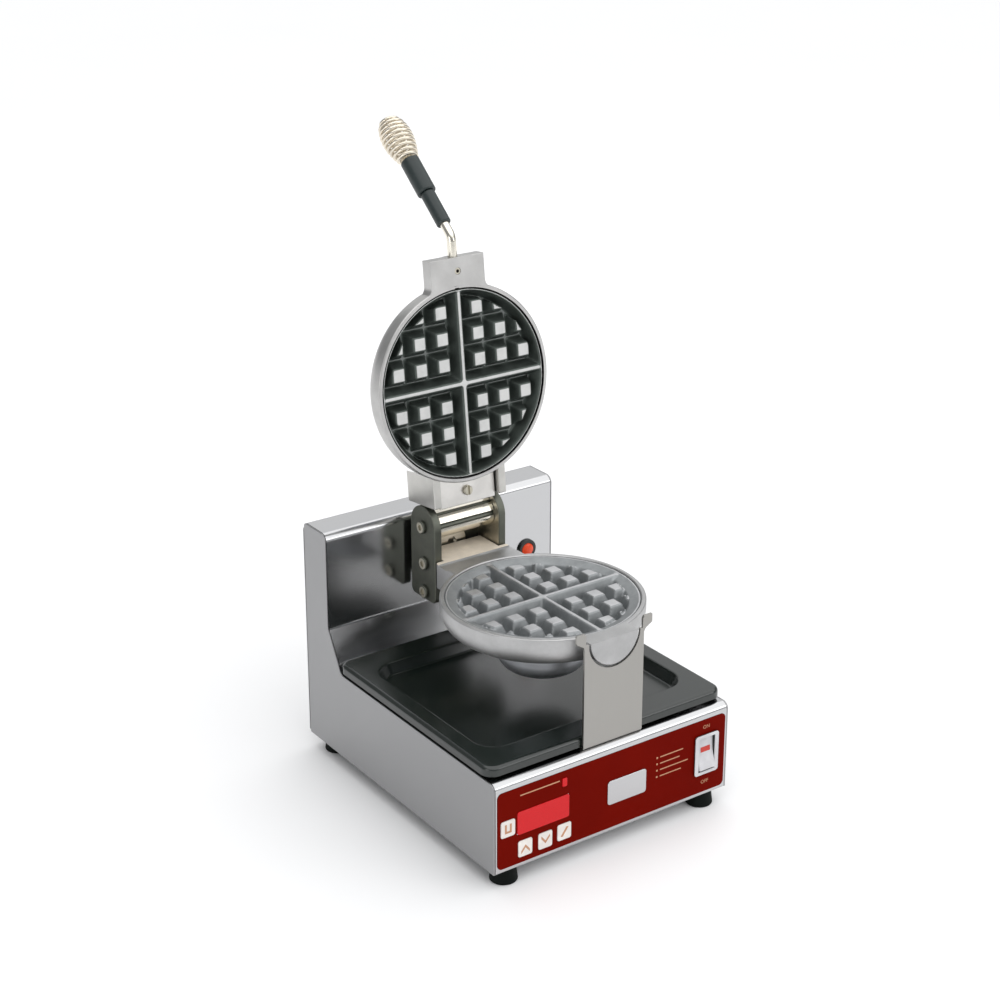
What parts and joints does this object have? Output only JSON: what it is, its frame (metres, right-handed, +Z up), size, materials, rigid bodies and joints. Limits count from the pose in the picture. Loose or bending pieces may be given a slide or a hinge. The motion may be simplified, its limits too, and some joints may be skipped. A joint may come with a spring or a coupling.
{
  "type": "belgian waffle maker",
  "caption": "Countertop waffle maker with one round deep grid, a hinged lid standing open, a spring-coil handle, a drip tray and a red control panel.",
  "frame": {"origin": "on the table, under the middle of the room that the whole part takes up", "axes": "+X to the right of someone who faces the control panel, +Y to the back, +Z up"},
  "size_m": [0.265, 0.3736, 0.609],
  "materials": {
    "brushed_steel": "brushed stainless sheet",
    "side_steel": "dull stainless sheet",
    "foot_rubber": "matt black rubber",
    "red_film": "dark red printed film",
    "red_window": "clear red window",
    "key_white": "off-white key",
    "switch_grey": "light grey moulding",
    "black_plastic": "black moulding",
    "lamp_red": "lit orange-red lens",
    "board_green": "circuit board",
    "core_steel": "dark oxidised steel",
    "ceramic_white": "ceramic",
    "black_steel": "dark non-stick coated tray",
    "yoke_grey": "dark grey casting",
    "polished_steel": "polished steel",
    "cast_bright": "satin cast aluminium",
    "cast_dark": "seasoned cast aluminium grid",
    "sleeve_plastic": "black heat-proof sleeve",
    "spring_nickel": "warm nickel plated wire"
  },
  "bodies": {
    "base": {"chassis_wrap": "brushed_steel", "left_side_panel": "side_steel", "right_side_panel": "side_steel", "rear_panel": "side_steel", "base_plate": "side_steel", "foot_front_left": "foot_rubber", "foot_front_right": "foot_rubber", "foot_rear_left": "foot_rubber", "foot_rear_right": "foot_rubber", "control_overlay": "red_film", "display_window": "red_window", "indicator_lens": "red_window", "switch_bezel": "switch_grey", "pilot_bezel": "black_plastic", "pilot_lens": "lamp_red", "control_board": "board_green", "transformer": "core_steel", "relay": "black_plastic", "terminal_block": "ceramic_white", "cord_inlet": "black_plastic", "front_cradle": "brushed_steel", "hinge_yoke": "yoke_grey", "trunnion_shaft": "polished_steel", "trunnion_bearing": "cast_bright", "shaft_collar": "side_steel", "hinge_pin": "polished_steel", "lower_lug_bolt": "polished_steel", "yoke_tie_bolt": "polished_steel", "lower_casing": "cast_bright", "lower_grid": "cast_dark", "lower_element": "core_steel", "lower_terminal_cup": "brushed_steel", "temperature_probe": "polished_steel"},
    "lid": {"lid_arm": "cast_bright", "upper_casing": "cast_bright", "upper_grid": "cast_dark", "upper_element": "core_steel", "upper_terminal_cup": "brushed_steel", "lug_screw": "polished_steel", "set_screw": "core_steel", "handle_rod": "polished_steel", "rod_sleeve": "sleeve_plastic", "grip_sleeve": "sleeve_plastic", "coil_handle": "spring_nickel"},
    "tray": {"drip_tray": "black_steel"},
    "rocker": {"rocker_switch": "switch_grey"},
    "key_cap_1": {"key_1": "key_white"},
    "key_cap_2": {"key_2": "key_white"},
    "key_cap_3": {"key_3": "key_white"},
    "key_cap_4": {"key_4": "key_white"}
  },
  "joints": [
    {"name": "lid_hinge", "type": "hinge", "parent": "base", "child": "lid", "pos_m": [0, 0.06638, 0.236], "axis": [1, 0, 0], "range_deg": [0, 96.2]},
    {"name": "tray_slide", "type": "slide", "parent": "base", "child": "tray", "axis": [-1, 0, 0], "range_m": [0, 0.27]},
    {"name": "rocker_tip", "type": "hinge", "parent": "base", "child": "rocker", "pos_m": [0.106, -0.17812, 0.06], "axis": [1, 0, 0], "range_deg": [0, 20]},
    {"name": "key_1_press", "type": "slide", "parent": "base", "child": "key_cap_1", "axis": [0, 1, 0], "range_m": [0, 0.0008], "stiffness_N_per_m": 500},
    {"name": "key_2_press", "type": "slide", "parent": "base", "child": "key_cap_2", "axis": [0, 1, 0], "range_m": [0, 0.0008], "stiffness_N_per_m": 500},
    {"name": "key_3_press", "type": "slide", "parent": "base", "child": "key_cap_3", "axis": [0, 1, 0], "range_m": [0, 0.0008], "stiffness_N_per_m": 500},
    {"name": "key_4_press", "type": "slide", "parent": "base", "child": "key_cap_4", "axis": [0, 1, 0], "range_m": [0, 0.0008], "stiffness_N_per_m": 500}
  ]
}
